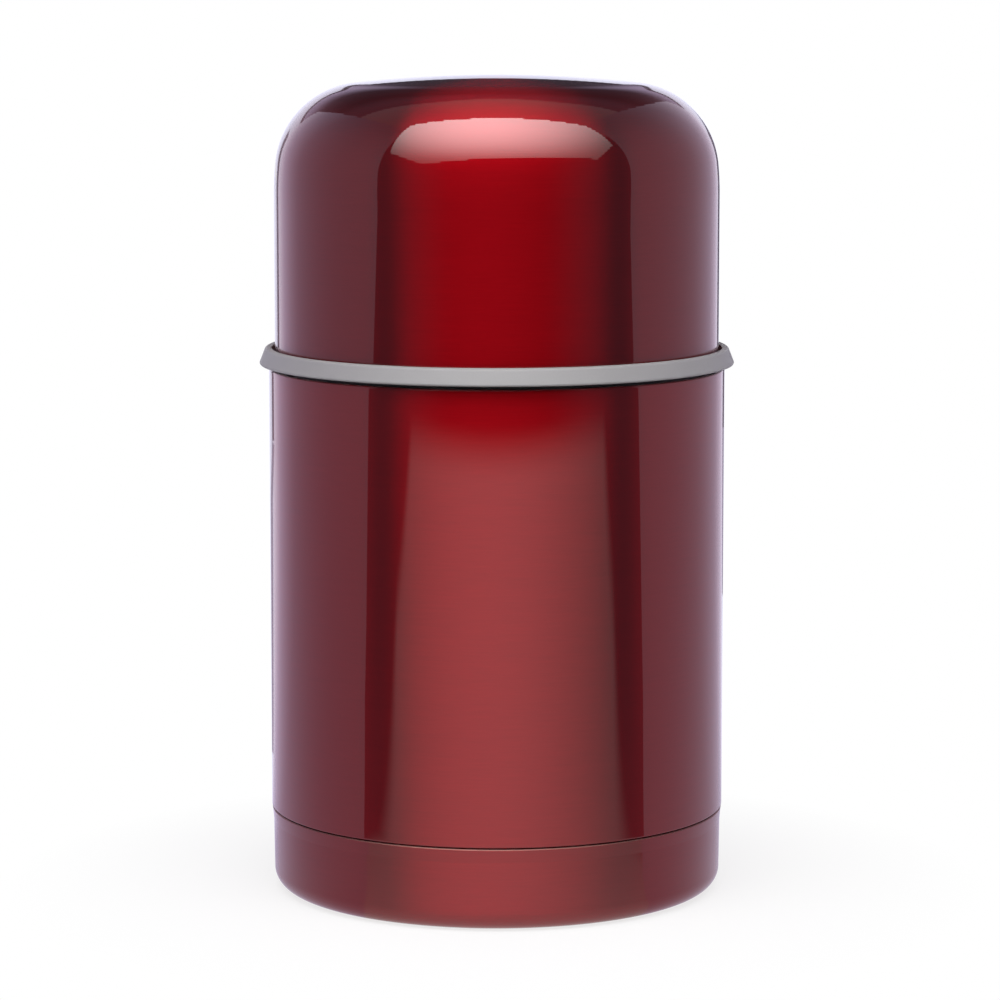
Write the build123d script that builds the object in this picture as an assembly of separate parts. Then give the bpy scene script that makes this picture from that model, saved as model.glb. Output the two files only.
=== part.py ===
from build123d import *
import math
import os

# Insulated food jar. Millimetres, +Z up, origin on the floor at the middle of the base.
# Radii are outside radii of the piece unless the name says bore or inside.

# Body: the straight lacquered wall, its shoulder and its neck
body_r = 50.0
wall_h = 97.0            # from the base cap's rim up to the shoulder
shell_t = 0.6            # sheet thickness
shoulder_w = 7.0         # flat shoulder, from the wall in to the neck
neck_h = 19.0            # from the shoulder up to the rim of the mouth
shoulder_bend = 0.9      # outside radius of the wall's upper edge
lip_bend = 2.0           # roll of the mouth rim
seam_gap = 0.25          # open groove between the wall's rolled end and the base cap
roll_h = 0.6             # height of the rolled end
roll_bend = 1.0
skirt_step = 1.4         # the wall steps in this far to enter the base cap

# Base cap: drawn cup with a foot ring and a raised middle
base_h = 18.0
base_inset = 0.1         # the cap's rim stands this far inside the body wall
base_flare = 0.3         # the rim is opened this much over the last part of its height
flare_h = 3.0
base_taper = 0.2         # and the cap narrows this much more towards the floor
base_corner = 5.2
base_t = 0.5
rim_chamfer = 0.22       # ground outer edge of the raw rim
foot_w = 3.4             # flat ring that the jar stands on
dish_h = 1.6             # the middle is raised this far
dish_run = 2.6
bond_end_gap = 0.8       # the glue stops this far from the flare and the skirt's end
bond_gap = 0.03

# Outer bottom: disc welded into the skirt, with the pump-out dimple
bottom_t = 0.7
bottom_flange_h = 3.8
skirt_end_gap = 1.8      # skirt's lower end above the cap's corner
dimple_r = 6.5
dimple_h = 1.5
pump_hole_r = 1.2
bead_r = 4.0

# Inner vessel: drawn food vessel with a throat ledge for the gasket
vacuum_gap = 5.0
vessel_t = 0.5
floor_gap = 5.8          # vacuum space below the vessel
floor_bend = 10.0
vessel_shoulder_h = 9.5
vessel_shoulder_bend = 6.0
throat_h = 5.5
throat_bend = 4.0
ledge_w = 2.5            # flat ledge that the stopper's gasket presses on
ledge_depth = 20.0       # ledge below the rim of the mouth
neck_gap = 3.4           # vacuum space inside the neck
foil_t = 0.15
foil_end_gap = 3.0       # foil stops short of the vessel's bends
getter_r = 9.0
getter_h = 3.0

# Neck ring: flared moulded collar that the cup's edge drops into
ring_fit = 0.1
ring_floor_t = 1.6
ring_overhang = 2.15     # widest line of the flare, outside the body wall
ring_flare_h = 1.75      # height of that line above the shoulder
ring_bevel_in = 0.5      # underside is flat up to this far inside the wall
ring_lip_h = 5.2
ring_lip_t = 1.25
ring_tip_round = 1.1     # outer edge of the lip's top; the inner edge is left sharp
ring_edge_round = 0.5
collar_t = 1.0
collar_h = 3.6
cup_gap = 0.68           # between the lip and the cup

# Cup: steel dome over a moulded bowl
cup_inset = 1.32         # cup wall inside the body wall
cup_wall_h = 35.2
cup_t = 0.5
soft_r = 68.0            # slow curve at the top of the wall
soft_turn = 5.5
dome_r = 19.5            # quick curve of the dome's shoulder
crown_r = 297.0          # nearly flat crown
cup_seat_gap = 0.3
rim_t = 1.3              # liner's foot, which covers the dome's cut edge
liner_air = 1.5          # air space between dome and bowl
liner_t = 1.6
land_h = 6.0             # band where dome and liner are glued
cup_bond_t = 0.2

# Stopper: hollow screw plug with a fluted head
seat_gap = 0.3           # head above the rim of the mouth
thread_room = 1.7        # plug to neck, where both threads lie
nose_room = 1.4
nose_h = 8.0             # plug's nose below the ledge
plug_t = 1.8
plug_bend = 2.4
gasket_gap = 0.2
gasket_h = 2.6
gasket_room = 1.0        # gasket to neck
head_inset = 0.5         # head inside the neck, so that the cup's thread passes
cover_h = 15.0
cover_t = 2.0
cover_bend = 2.6
head_rim_w = 5.5
dish_depth = 3.5
dish_slope = 3.0
boss_w = 3.2             # raised ring round the button
boss_h = 2.5
boss_slope = 1.8
sleeve_h = 7.3
sleeve_t = 1.5
flutes = 36
flute_r = 2.2
flute_depth = 0.9
flute_end_gap = 3.0
foam_gap = 0.3

# Vent valve: button, stem, spring and the seal below the plug
button_r = 9.0
button_fit = 0.3
button_proud = 1.0
button_t = 1.2
button_bend = 1.8
button_stop_w = 1.4
button_travel = 2.5      # down to where the stem's stop meets the spring tube
socket_h = 4.6
socket_t = 1.5
groove_h = 1.4
groove_depth = 0.8
groove_backing = 1.0
groove_drop = 4.0        # groove below the button's top
seal_fit = 0.05
stem_r = 2.0
vent_room = 0.8          # open ring round the stem in the plug's floor
tube_bore = 4.3          # spring's housing, moulded on the plug's floor
tube_t = 1.5
tube_h = 16.0
collar_fit = 0.3
stem_collar_h = 2.0
stem_stop_w = 0.8        # stop disc on the stem reaches this far over the spring tube
stem_stop_h = 1.6
stop_play = 0.1
spring_h = 14.0
spring_wire_r = 0.3
spring_r = 3.6
spring_turns = 5.5
valve_seal_r = 6.0
valve_seal_t = 1.6
valve_gap = 0.05
valve_plate_r = 5.2
valve_plate_t = 1.5
screw_r = 1.0
screw_depth = 8.0
screw_head_r = 2.4
screw_head_h = 1.4
screw_fit = 0.05

# Heights and radii that follow from the sizes above
shoulder_z = base_h + wall_h
mouth_z = shoulder_z + neck_h
neck_r = body_r - shoulder_w
skirt_r = body_r - skirt_step
skirt_z = base_corner + skirt_end_gap
panel_z = skirt_z + bottom_flange_h
vessel_under_z = panel_z + floor_gap
vessel_bore = body_r - shell_t - vacuum_gap - vessel_t
mouth_bore = neck_r - shell_t - neck_gap - vessel_t
throat_bore = mouth_bore - ledge_w
ledge_z = mouth_z - ledge_depth
throat_z = ledge_z - throat_h
vessel_wall_top = throat_z - vessel_shoulder_h

ring_floor_z = shoulder_z + ring_floor_t
cup_r = body_r - cup_inset
rim_z = ring_floor_z + cup_seat_gap
cup_edge_z = rim_z + rim_t
cup_wall_top = cup_edge_z + cup_wall_h

head_z = mouth_z + seat_gap
plug_r = mouth_bore - thread_room
nose_r = throat_bore - nose_room
nose_z = ledge_z - nose_h
gasket_z = ledge_z + gasket_gap
plug_step_z = gasket_z + gasket_h
plug_floor_z = nose_z + plug_t
head_r = neck_r - head_inset
cover_top = head_z + cover_h
tube_top = plug_floor_z + tube_h
button_bore = button_r + button_fit
boss_r = button_bore + boss_w
boss_z = cover_top - dish_depth + boss_h
sleeve_z = boss_z - sleeve_h
button_top = boss_z + button_proud
button_end_z = sleeve_z - button_fit
stem_top = button_top - button_t - valve_gap
vent_bore = stem_r + vent_room
valve_seal_z = nose_z - valve_gap - valve_seal_t
valve_plate_z = valve_seal_z - valve_plate_t
spring_top = plug_floor_z + spring_h

bend_share = 0.48        # most of a straight run that one bend may take


def bend_limit(before, corner, after, wanted):
    """The wanted bend radius, or the largest that the two straight runs beside it allow."""
    run_in = math.dist(before, corner)
    run_out = math.dist(corner, after)
    along = (corner[0] - before[0]) * (after[0] - corner[0])
    along += (corner[1] - before[1]) * (after[1] - corner[1])
    turn = math.acos(along / run_in / run_out)
    return min(wanted, bend_share * min(run_in, run_out) / math.tan(turn / 2))


def spun(outline):
    """Solid of revolution from a closed outline drawn as (radius, height)."""
    return revolve(make_face(Plane.XZ * outline), Axis.Z)


def sheet(points, bends, thickness, side):
    """Sheet wall of even thickness along a line with a bend radius at each inner point."""
    radii = [bend_limit(*points[i:i + 3], bend) for i, bend in enumerate(bends)]
    line = Wire(FilletPolyline(*points, radius=radii).edges())
    return spun(offset(line, amount=thickness, side=side, kind=Kind.INTERSECTION))


def ring(points):
    """Ring with a section of straight sides."""
    return spun(Polyline(*points, close=True))


def tube(bore, outside, low, high):
    """Plain sleeve round the axis."""
    return ring([(bore, low), (outside, low), (outside, high), (bore, high)])


def disc(outside, low, high):
    """Plain round plate or rod on the axis."""
    return Pos(0, 0, low) * Cylinder(outside, high - low, align=(Align.CENTER, Align.CENTER, Align.MIN))


# ------------------------------------------------------------------ body

def outer_shell():
    """Body wall in one sheet: skirt, rolled end, straight wall, shoulder, neck and lip."""
    roll_z = base_h + seam_gap
    points = [
        (skirt_r, skirt_z),
        (skirt_r, roll_z),
        (body_r, roll_z + roll_h),
        (body_r, shoulder_z),
        (neck_r, shoulder_z),
        (neck_r, mouth_z),
        (mouth_bore + vessel_t, mouth_z),
    ]
    bends = [0, roll_bend, shoulder_bend, 0, lip_bend]
    return sheet(points, bends, shell_t, Side.LEFT)


def base_cap():
    """Drawn base cup: flared raw rim, tapered wall, round corner, foot ring and raised middle."""
    flare_z = base_h - flare_h
    foot_r = cap_radius(0) - base_corner - foot_w
    points = [
        (body_r - base_inset, base_h),
        (cap_radius(flare_z), flare_z),
        (cap_radius(0), 0),
        (foot_r, 0),
        (foot_r - dish_run, dish_h),
        (0, dish_h),
    ]
    cap = sheet(points, [0, base_corner, 0, 0], base_t, Side.RIGHT)
    rim_edges = cap.edges().filter_by(GeomType.CIRCLE).sort_by(Axis.Z)[-2:]
    return chamfer(rim_edges.sort_by(SortBy.RADIUS)[-1], rim_chamfer)


def cap_radius(z):
    """Outside radius of the base cap's tapered wall at a height below the flare."""
    straight_h = base_h - flare_h
    return body_r - base_inset - base_flare - base_taper * (straight_h - z) / straight_h


def base_bond():
    """Ring of glue between the skirt and the base cap."""
    low = skirt_z + bond_end_gap
    high = base_h - flare_h - bond_end_gap
    inside = base_t + bond_gap
    points = [
        (skirt_r, low),
        (cap_radius(low) - inside, low),
        (cap_radius(high) - inside, high),
        (skirt_r, high),
    ]
    return ring(points)


def outer_bottom():
    """Flanged disc welded into the skirt, with a dimple and the pump-out hole."""
    points = [
        (skirt_r - shell_t, skirt_z),
        (skirt_r - shell_t, panel_z),
        (dimple_r, panel_z),
        (dimple_r - dimple_h, panel_z + dimple_h),
        (pump_hole_r, panel_z + dimple_h),
    ]
    return sheet(points, [0, 0, 0], bottom_t, Side.LEFT)


def vacuum_seal():
    """Glass melted over the pump-out hole, with a plug of it inside the hole."""
    under_z = panel_z + dimple_h - bottom_t
    bead_h = dimple_h * 0.7
    bulge = ThreePointArc((-bead_r, under_z), (0, under_z - bead_h), (bead_r, under_z))
    half = split(bulge, Plane.YZ, keep=Keep.TOP)
    rest = Polyline(
        (bead_r, under_z),
        (pump_hole_r, under_z),
        (pump_hole_r, under_z + bottom_t),
        (0, under_z + bottom_t),
        (0, under_z - bead_h),
    )
    return spun(half + rest)


def inner_vessel():
    """Food vessel in one sheet: floor, wall, shoulder, throat, gasket ledge and neck."""
    floor_z = vessel_under_z + vessel_t
    points = [
        (0, floor_z),
        (vessel_bore, floor_z),
        (vessel_bore, vessel_wall_top),
        (throat_bore, throat_z),
        (throat_bore, ledge_z),
        (mouth_bore, ledge_z),
        (mouth_bore, mouth_z),
    ]
    bends = [floor_bend, vessel_shoulder_bend, throat_bend, 0, 0]
    return sheet(points, bends, vessel_t, Side.RIGHT)


def heat_shield():
    """Foil wrapped round the vessel's straight wall."""
    outside = vessel_bore + vessel_t
    low = vessel_under_z + vessel_t + floor_bend + foil_end_gap
    high = vessel_wall_top - foil_end_gap
    return tube(outside, outside + foil_t, low, high)


def getter():
    """Gas-absorbing pellet in its tin, welded below the vessel's floor."""
    return disc(getter_r, vessel_under_z - getter_h, vessel_under_z)


def neck_ring():
    """Flared collar round the neck: floor, outer lip and a short inner collar."""
    bore = neck_r + ring_fit
    lip_bore = cup_r + cup_gap
    tip_z = shoulder_z + ring_lip_h
    points = [
        (bore, shoulder_z),
        (body_r - ring_bevel_in, shoulder_z),
        (body_r + ring_overhang, shoulder_z + ring_flare_h),
        (lip_bore + ring_lip_t, tip_z),
        (lip_bore, tip_z),
        (lip_bore, ring_floor_z),
        (bore + collar_t, ring_floor_z),
        (bore + collar_t, shoulder_z + collar_h),
        (bore, shoulder_z + collar_h),
    ]
    rounds = [0, 0, ring_edge_round, ring_tip_round, 0, 0, 0, 0, 0]
    return spun(FilletPolyline(*points, radius=rounds, close=True))


# ------------------------------------------------------------------ cup

def dome(inset, edge_z):
    """Solid inside the cup's outer form, moved in by inset and cut flat at edge_z."""
    soft_x = cup_r - soft_r
    soft_end_x = soft_x + (soft_r - dome_r) * math.cos(math.radians(soft_turn))
    soft_end_z = cup_wall_top + (soft_r - dome_r) * math.sin(math.radians(soft_turn))
    crown_drop = math.sqrt((crown_r - dome_r) ** 2 - soft_end_x ** 2)
    crown_turn = math.degrees(math.atan2(crown_drop, soft_end_x))
    top_z = soft_end_z - crown_drop + crown_r - inset
    wall = Line((cup_r - inset, edge_z), (cup_r - inset, cup_wall_top))
    soft = CenterArc((soft_x, cup_wall_top), soft_r - inset, 0, soft_turn)
    quick = CenterArc((soft_end_x, soft_end_z), dome_r - inset, soft_turn, crown_turn - soft_turn)
    crown = CenterArc((0, soft_end_z - crown_drop), crown_r - inset, crown_turn, 90 - crown_turn)
    rest = Polyline((0, top_z), (0, edge_z), (cup_r - inset, edge_z))
    return spun(wall + soft + quick + crown + rest)


def cup_shell():
    """Drawn steel dome of even thickness with a cut lower edge."""
    return dome(0, cup_edge_z) - dome(cup_t, cup_edge_z)


def cup_liner():
    """Moulded bowl inside the dome, with a glue land and a foot below the dome's edge."""
    outside = cup_t + liner_air
    bore = cup_r - outside - liner_t
    land_r = cup_r - cup_t - cup_bond_t
    bowl = dome(outside, rim_z) - dome(outside + liner_t, rim_z)
    land = tube(bore + liner_t * 0.5, land_r, rim_z, cup_edge_z + land_h)
    foot = tube(bore + liner_t * 0.5, cup_r, rim_z, cup_edge_z)
    return bowl + land + foot


def cup_bond():
    """Film of glue between the dome and the liner's land."""
    outside = cup_r - cup_t
    return tube(outside - cup_bond_t, outside, cup_edge_z, cup_edge_z + land_h)


# ------------------------------------------------------------------ stopper

def stopper_body():
    """Hollow screw plug: vented floor, nose, gasket step, threaded wall, flange, spring tube."""
    points = [
        (vent_bore, nose_z),
        (nose_r, nose_z),
        (nose_r, plug_step_z),
        (plug_r, plug_step_z),
        (plug_r, head_z),
        (head_r - cover_t, head_z),
    ]
    plug = sheet(points, [plug_bend, 0, 0, 0], plug_t, Side.LEFT)
    housing = tube(tube_bore, tube_bore + tube_t, plug_floor_z - plug_t * 0.5, tube_top)
    return plug + housing


def stopper_cover():
    """Head of the stopper: fluted side, dished top and the sleeve that guides the button."""
    dish_z = cover_top - dish_depth
    points = [
        (head_r, head_z),
        (head_r, cover_top),
        (head_r - head_rim_w, cover_top),
        (head_r - head_rim_w - dish_slope, dish_z),
        (boss_r + boss_slope, dish_z),
        (boss_r, boss_z),
        (button_bore, boss_z),
    ]
    bends = [cover_bend, cover_bend, 0, 0, 0]
    cap = sheet(points, bends, cover_t, Side.LEFT)
    sleeve = tube(button_bore, button_bore + sleeve_t, sleeve_z, boss_z - cover_t * 0.5)
    flute = Pos(head_r - flute_depth + flute_r, 0, 0) * disc(flute_r, head_z, cover_top - flute_end_gap)
    return cap + sleeve - [Rot(0, 0, 360 / flutes * i) * flute for i in range(flutes)]


def stopper_foam():
    """Foam insert that fills the plug round the spring tube."""
    bore = tube_bore + tube_t + foam_gap
    low = plug_floor_z + foam_gap
    step_z = plug_step_z + plug_t + foam_gap
    nose_fill = nose_r - plug_t - foam_gap
    plug_fill = plug_r - plug_t - foam_gap
    points = [
        (bore, low),
        (nose_fill - plug_bend, low),
        (nose_fill, low + plug_bend),
        (nose_fill, step_z),
        (plug_fill, step_z),
        (plug_fill, head_z),
        (bore, head_z),
    ]
    return ring(points)


def stopper_gasket():
    """Silicone ring on the plug's nose, with a lip that seals on the vessel's ledge."""
    outside = mouth_bore - gasket_room
    lip = gasket_h * 0.4
    points = [
        (nose_r, gasket_z + lip),
        (nose_r + lip, gasket_z),
        (outside - lip * 0.5, gasket_z),
        (outside, gasket_z + lip * 0.5),
        (outside - lip * 0.5, plug_step_z),
        (nose_r, plug_step_z),
    ]
    return ring(points)


# ------------------------------------------------------------------ vent valve

def vent_button():
    """Hollow button: top, side with the seal's groove, stop flange and the stem's socket."""
    points = [
        (0, button_top),
        (button_r, button_top),
        (button_r, button_end_z),
        (button_r + button_stop_w, button_end_z),
    ]
    cap = sheet(points, [button_bend, 0], button_t, Side.RIGHT)
    groove_top = button_top - groove_drop
    groove_z = groove_top - groove_h
    backing_r = button_r - button_t
    backing = tube(backing_r - groove_backing, backing_r + button_t * 0.5, groove_z - button_t, button_top - button_t)
    groove = tube(button_r - groove_depth, button_r + button_fit, groove_z, groove_top)
    socket = tube(stem_r, stem_r + socket_t, stem_top - socket_h, button_top - button_t * 0.5)
    return cap + backing - groove + socket


def button_seal():
    """Square-cut sealing ring in the button's groove."""
    groove_top = button_top - groove_drop
    crown = button_bore - seal_fit
    points = [
        (button_r - groove_depth, groove_top),
        (button_r - groove_depth, groove_top - groove_h),
        (button_r, groove_top - groove_h),
        (crown, groove_top - groove_h * 0.7),
        (crown, groove_top - groove_h * 0.3),
        (button_r, groove_top),
    ]
    return ring(points)


def valve_stem():
    """Rod from the button down through the plug's floor, with the spring's collar and a stop."""
    stop_z = tube_top + button_travel + stop_play
    rod = disc(stem_r, valve_seal_z, stem_top)
    collar = disc(tube_bore - collar_fit, spring_top, spring_top + stem_collar_h)
    stop = disc(tube_bore + stem_stop_w, stop_z, stop_z + stem_stop_h)
    screw_hole = disc(screw_r + screw_fit, valve_seal_z, valve_seal_z + screw_depth)
    return rod + collar + stop - screw_hole


def valve_spring():
    """Coil spring between the plug's floor and the stem's collar."""
    coil_h = spring_h - 2 * spring_wire_r - 0.1
    path = Helix(pitch=coil_h / spring_turns, height=coil_h, radius=spring_r)
    wire = Plane(origin=path @ 0, z_dir=path % 0) * RegularPolygon(spring_wire_r, 8)
    return Pos(0, 0, plug_floor_z + spring_wire_r + 0.05) * sweep(wire, path=path)


def valve_seal():
    """Silicone disc on the stem that closes the vent from below."""
    return tube(stem_r, valve_seal_r, valve_seal_z, valve_seal_z + valve_seal_t)


def valve_plate():
    """Stiff disc that backs the seal."""
    return tube(screw_r + screw_fit, valve_plate_r, valve_plate_z, valve_seal_z)


def valve_screw():
    """Pan-head screw from below, through the plate into the stem."""
    head_top = valve_plate_z
    head = disc(screw_head_r, head_top - screw_head_h, head_top)
    shank = disc(screw_r, head_top, valve_seal_z + screw_depth - screw_fit)
    return head + shank


PIECES = [
    outer_shell, base_cap, base_bond, outer_bottom, vacuum_seal,
    inner_vessel, heat_shield, getter, neck_ring,
    cup_shell, cup_liner, cup_bond,
    stopper_body, stopper_cover, stopper_foam, stopper_gasket,
    vent_button, button_seal, valve_stem, valve_spring, valve_seal, valve_plate, valve_screw,
]

os.makedirs("parts", exist_ok=True)
for piece in PIECES:
    export_step(piece(), f"parts/{piece.__name__}.step")
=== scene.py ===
import math

import bpy
import bmesh
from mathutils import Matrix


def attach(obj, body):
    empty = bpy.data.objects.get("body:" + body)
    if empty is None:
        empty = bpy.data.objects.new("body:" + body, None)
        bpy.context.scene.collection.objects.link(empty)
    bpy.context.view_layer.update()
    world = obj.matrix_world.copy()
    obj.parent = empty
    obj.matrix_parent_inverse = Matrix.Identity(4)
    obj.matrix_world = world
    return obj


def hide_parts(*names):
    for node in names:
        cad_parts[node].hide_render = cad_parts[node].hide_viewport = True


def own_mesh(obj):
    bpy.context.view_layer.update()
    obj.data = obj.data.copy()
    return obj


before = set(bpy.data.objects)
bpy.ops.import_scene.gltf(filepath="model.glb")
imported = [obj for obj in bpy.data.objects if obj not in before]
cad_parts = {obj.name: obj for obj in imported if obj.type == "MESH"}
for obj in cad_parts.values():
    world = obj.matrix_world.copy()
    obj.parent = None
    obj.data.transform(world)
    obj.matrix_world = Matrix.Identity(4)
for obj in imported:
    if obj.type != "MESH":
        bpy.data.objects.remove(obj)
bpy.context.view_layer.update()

# The jar's sizes are in millimetres, where _R names a radius and _Z a height above the table.
# The studio's and the camera's are in metres.
MM = 0.001

# ---------------------------------------------------------------- food vessel
# The vessel that holds the food: one deep-drawn sheet of stainless steel with a throat,
# a ledge for the stopper's gasket and a neck. Its inside is electropolished, and the
# female thread for the stopper is rolled into the neck.

VESSEL_T = 0.5
MOUTH_BORE = 38.5
LEDGE_Z = 114.0
MOUTH_Z = 134.0
THREAD_PITCH = 4.0
THREAD_SINK = 0.15
THREAD_FADE = 0.08
THREAD_STEPS = 120
SHARP_ANGLE = 32


def new_material(name):
    """An empty material with its shader, ready for nodes."""
    made = bpy.data.materials.new(name)
    made.use_nodes = True
    return made, made.node_tree.nodes["Principled BSDF"]


def node(shader, kind, **settings):
    """A node beside the shader, with its settings filled in."""
    made = shader.id_data.nodes.new("ShaderNode" + kind)
    for key, value in settings.items():
        setattr(made, key, value)
    return made


def link(source, target):
    """Join an output socket to an input socket."""
    target.id_data.links.new(source, target)


def calc(shader, operation, *values):
    """One step of arithmetic on sockets or plain numbers."""
    made = node(shader, "Math", operation=operation)
    for slot, value in zip(made.inputs, values):
        if isinstance(value, (int, float)):
            slot.default_value = value
        else:
            link(value, slot)
    return made.outputs[0]


def turned_noise(shader, across, along, detail=3.0):
    """Noise drawn out round the jar's axis, as a lathe or a brushing belt leaves it; across is
    in grains per metre, and along is in grains per radian."""
    place = node(shader, "TexCoord").outputs["Object"]
    parts = node(shader, "SeparateXYZ")
    link(place, parts.inputs[0])
    flat = node(shader, "CombineXYZ")
    link(parts.outputs["X"], flat.inputs["X"])
    link(parts.outputs["Y"], flat.inputs["Y"])
    radius = node(shader, "VectorMath", operation="LENGTH")
    link(flat.outputs[0], radius.inputs[0])
    around = node(shader, "VectorMath", operation="NORMALIZE")
    link(flat.outputs[0], around.inputs[0])
    spread = node(shader, "VectorMath", operation="SCALE")
    link(around.outputs[0], spread.inputs[0])
    spread.inputs["Scale"].default_value = along
    lift = node(shader, "CombineXYZ")
    link(calc(shader, "MULTIPLY", parts.outputs["Z"], across), lift.inputs["Z"])
    total = node(shader, "VectorMath", operation="ADD")
    link(spread.outputs[0], total.inputs[0])
    link(lift.outputs[0], total.inputs[1])
    grain = node(shader, "TexNoise", noise_dimensions="4D")
    grain.inputs["Scale"].default_value = 1.0
    grain.inputs["Detail"].default_value = detail
    link(total.outputs[0], grain.inputs["Vector"])
    link(calc(shader, "MULTIPLY", radius.outputs["Value"], across), grain.inputs["W"])
    return grain.outputs["Fac"]


def cloud_noise(shader, scale, detail=3.0):
    """Plain noise in the piece's own space; scale is in grains per metre."""
    place = node(shader, "TexCoord").outputs["Object"]
    grain = node(shader, "TexNoise")
    grain.inputs["Scale"].default_value = scale
    grain.inputs["Detail"].default_value = detail
    link(place, grain.inputs["Vector"])
    return grain.outputs["Fac"]


def between(shader, amount, low, high):
    """Spread a 0 to 1 value over the range low to high."""
    made = node(shader, "MapRange")
    link(amount, made.inputs["Value"])
    made.inputs["To Min"].default_value = low
    made.inputs["To Max"].default_value = high
    return made.outputs[0]


def blend_colours(shader, amount, first, second):
    """Mix of two colours, each a tuple or a socket."""
    made = node(shader, "Mix", data_type="RGBA")
    link(amount, made.inputs[0])
    for slot, colour in zip((made.inputs[6], made.inputs[7]), (first, second)):
        if isinstance(colour, tuple):
            slot.default_value = (*colour, 1.0)
        else:
            link(colour, slot)
    return made.outputs[2]


def raise_bumps(shader, height, distance, strength, layer="Normal"):
    """Fine relief on one of the shader's layers; distance is its depth in metres."""
    bump = node(shader, "Bump")
    bump.inputs["Strength"].default_value = strength
    bump.inputs["Distance"].default_value = distance
    link(height, bump.inputs["Height"])
    link(bump.outputs[0], shader.inputs[layer])


def brushed_metal(shader, stretch):
    """Make the shader a metal brushed round the axis; stretch is how far highlights draw out."""
    shader.inputs["Metallic"].default_value = 1.0
    shader.inputs["Anisotropic"].default_value = stretch
    shader.inputs["Anisotropic Rotation"].default_value = 0.25
    tangent = node(shader, "Tangent", direction_type="RADIAL", axis="Z")
    link(tangent.outputs[0], shader.inputs["Tangent"])


def bare_steel(name, light, dark, roughness, stretch):
    """Stainless steel with fine lines round the axis."""
    made, shader = new_material(name)
    lines = turned_noise(shader, across=2600.0, along=2.5)
    link(blend_colours(shader, lines, dark, light), shader.inputs["Base Color"])
    stain = cloud_noise(shader, 60.0)
    mixed = calc(shader, "MULTIPLY", between(shader, stain, 0.85, 1.15), between(shader, lines, 0.9, 1.1))
    link(calc(shader, "MULTIPLY", mixed, roughness), shader.inputs["Roughness"])
    brushed_metal(shader, stretch)
    raise_bumps(shader, lines, distance=0.000004, strength=0.3)
    return made


def dress(name, material):
    """Give a CAD node its finish."""
    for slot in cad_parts[name].material_slots:
        slot.material = material


vessel_steel = bare_steel("vessel_steel", light=(0.66, 0.65, 0.63), dark=(0.55, 0.54, 0.52),
                          roughness=0.24, stretch=0.5)
dress("inner_vessel", vessel_steel)


def add_object(name, data):
    """An object for a mesh or a camera, linked into the scene."""
    made = bpy.data.objects.new(name, data)
    bpy.context.collection.objects.link(made)
    return made


def solid(name, verts, faces, materials):
    """A smooth-shaded closed mesh object with its sharp edges kept sharp."""
    mesh = bpy.data.meshes.new(name)
    mesh.from_pydata(verts, [], faces)
    for material in materials:
        mesh.materials.append(material)
    work = bmesh.new()
    work.from_mesh(mesh)
    bmesh.ops.recalc_face_normals(work, faces=work.faces)
    work.to_mesh(mesh)
    work.free()
    mesh.polygons.foreach_set("use_smooth", [True] * len(mesh.polygons))
    mesh.set_sharp_from_angle(angle=math.radians(SHARP_ANGLE))
    return add_object(name, mesh)


def turned_point(radius, angle, height):
    """A vertex in metres, from its radius, its angle round the axis and its height."""
    return (radius * MM * math.cos(angle), radius * MM * math.sin(angle), height * MM)


def tube_faces(rim, count):
    """Faces of a tube of count spans with rim points round it, closed at both ends."""
    faces = []
    for k in range(count):
        for j in range(rim):
            a = k * rim + j
            b = k * rim + (j + 1) % rim
            faces.append((a, b, b + rim, a + rim))
    faces.append(tuple(range(rim)))
    faces.append(tuple(count * rim + j for j in range(rim)))
    return faces


def helix_ridge(name, material, wall_r, depth, foot, crest, low_z, turns):
    """A thread ridge on a round wall, with run-outs at both ends; depth below zero points inwards."""
    sunk = -math.copysign(THREAD_SINK, depth)
    fade = THREAD_FADE * THREAD_STEPS
    total = int(THREAD_STEPS * turns)
    half = foot / 2
    flat = crest / 2
    verts = []
    for k in range(total + 1):
        angle = 2 * math.pi * k / THREAD_STEPS
        z = low_z + THREAD_PITCH * k / THREAD_STEPS
        rise = min(1.0, k / fade, (total - k) / fade)
        rise = rise * rise * (3 - 2 * rise)
        top = wall_r + (depth - sunk) * rise + sunk
        section = [(wall_r + sunk, -half), (wall_r + sunk, half), (wall_r, half)]
        section += [(top, flat), (top, -flat), (wall_r, -half)]
        verts += [turned_point(r, angle, z + dz) for r, dz in section]
    return solid(name, verts, tube_faces(len(section), total), [material])


vessel_thread = helix_ridge("vessel_thread", vessel_steel, MOUTH_BORE, depth=-0.75, foot=2.2,
                            crest=0.8, low_z=LEDGE_Z + 6.5, turns=2.2)
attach(vessel_thread, "jar")

# ---------------------------------------------------------------- vacuum space
# Copper foil wound on the vessel, the getter in its tin, the flanged bottom disc welded
# into the skirt, and the bead of glass that was melted over its pump-out hole.

foil, shader = new_material("copper_foil")
crease = cloud_noise(shader, 420.0, detail=5.0)
link(blend_colours(shader, crease, (0.55, 0.25, 0.15), (0.86, 0.48, 0.32)), shader.inputs["Base Color"])
link(between(shader, crease, 0.18, 0.4), shader.inputs["Roughness"])
shader.inputs["Metallic"].default_value = 1.0
raise_bumps(shader, crease, distance=0.0002, strength=0.6)
dress("heat_shield", foil)

plain_steel = bare_steel("plain_steel", light=(0.6, 0.59, 0.57), dark=(0.5, 0.49, 0.47),
                         roughness=0.34, stretch=0.3)
dress("outer_bottom", plain_steel)
dress("getter", plain_steel)

solder, shader = new_material("solder_glass")
cells = cloud_noise(shader, 900.0)
link(blend_colours(shader, cells, (0.12, 0.15, 0.13), (0.3, 0.34, 0.31)), shader.inputs["Base Color"])
link(between(shader, cells, 0.08, 0.2), shader.inputs["Roughness"])
shader.inputs["Coat Weight"].default_value = 0.5
dress("vacuum_seal", solder)

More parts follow.
